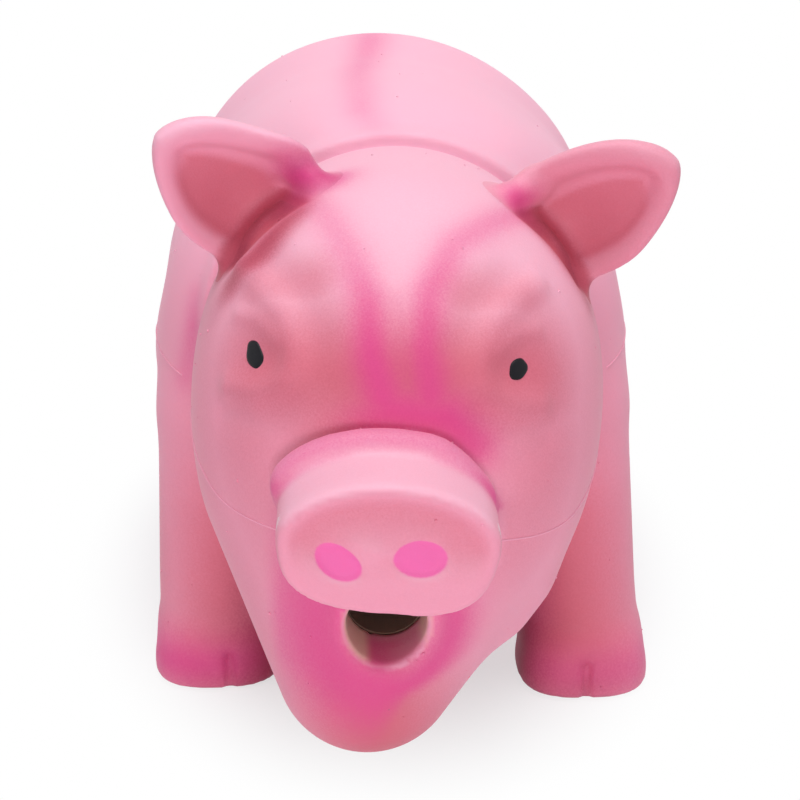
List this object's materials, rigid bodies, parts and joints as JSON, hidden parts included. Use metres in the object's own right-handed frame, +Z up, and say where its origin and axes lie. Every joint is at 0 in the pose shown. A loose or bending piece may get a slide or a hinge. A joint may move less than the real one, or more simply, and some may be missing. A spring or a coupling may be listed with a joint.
{
  "type": "latex pig dog toy",
  "caption": "Hollow soft latex pig standing on its legs, with bendable ears, a back that can be pressed and a reed grunter set in its open mouth.",
  "frame": {"origin": "on the floor, under the middle of the toy's box", "axes": "+Z up, -Y the way the snout points, +X the pig's own left"},
  "size_m": [0.119, 0.2464, 0.1433],
  "materials": {
    "pink_latex": "matte moulded latex, airbrushed",
    "salmon_latex": "matte moulded latex, airbrushed",
    "hoof_latex": "matte moulded latex, airbrushed",
    "cream_plastic": "satin",
    "dark_plastic": "satin",
    "brass": "rolled"
  },
  "bodies": {
    "skin": {"torso_skin": "pink_latex", "head_skin": "pink_latex", "front_left_leg": "hoof_latex", "front_right_leg": "hoof_latex", "rear_left_leg": "hoof_latex", "rear_right_leg": "hoof_latex", "tail": "pink_latex", "grunter_barrel": "cream_plastic", "reed_plate": "dark_plastic", "reed_tongue": "dark_plastic", "reed_clip": "dark_plastic", "grunter_guard": "cream_plastic"},
    "back": {"back_panel": "pink_latex"},
    "left_ear_flap": {"left_ear": "salmon_latex"},
    "right_ear_flap": {"right_ear": "salmon_latex"},
    "reed": {"reed_blade": "brass"}
  },
  "joints": [
    {"name": "back_press", "type": "slide", "parent": "skin", "child": "back", "axis": [0, 0, -1], "range_m": [0, 0.018], "stiffness_N_per_m": 300},
    {"name": "left_ear_bend", "type": "hinge", "parent": "skin", "child": "left_ear_flap", "pos_m": [0.03379, -0.05233, 0.1163], "axis": [-0.5403, 0.0718, 0.8384], "range_deg": [-25, 25], "stiffness_Nm_per_rad": 0.05},
    {"name": "right_ear_bend", "type": "hinge", "parent": "skin", "child": "right_ear_flap", "pos_m": [-0.02975, -0.05233, 0.12119], "axis": [-0.6622, -0.0718, -0.7459], "range_deg": [-25, 25], "stiffness_Nm_per_rad": 0.05},
    {"name": "reed_flutter", "type": "hinge", "parent": "skin", "child": "reed", "pos_m": [-0.00467, -0.08152, 0.05655], "axis": [1, 0, 0], "range_deg": [0, 4], "stiffness_Nm_per_rad": 0.00025}
  ]
}
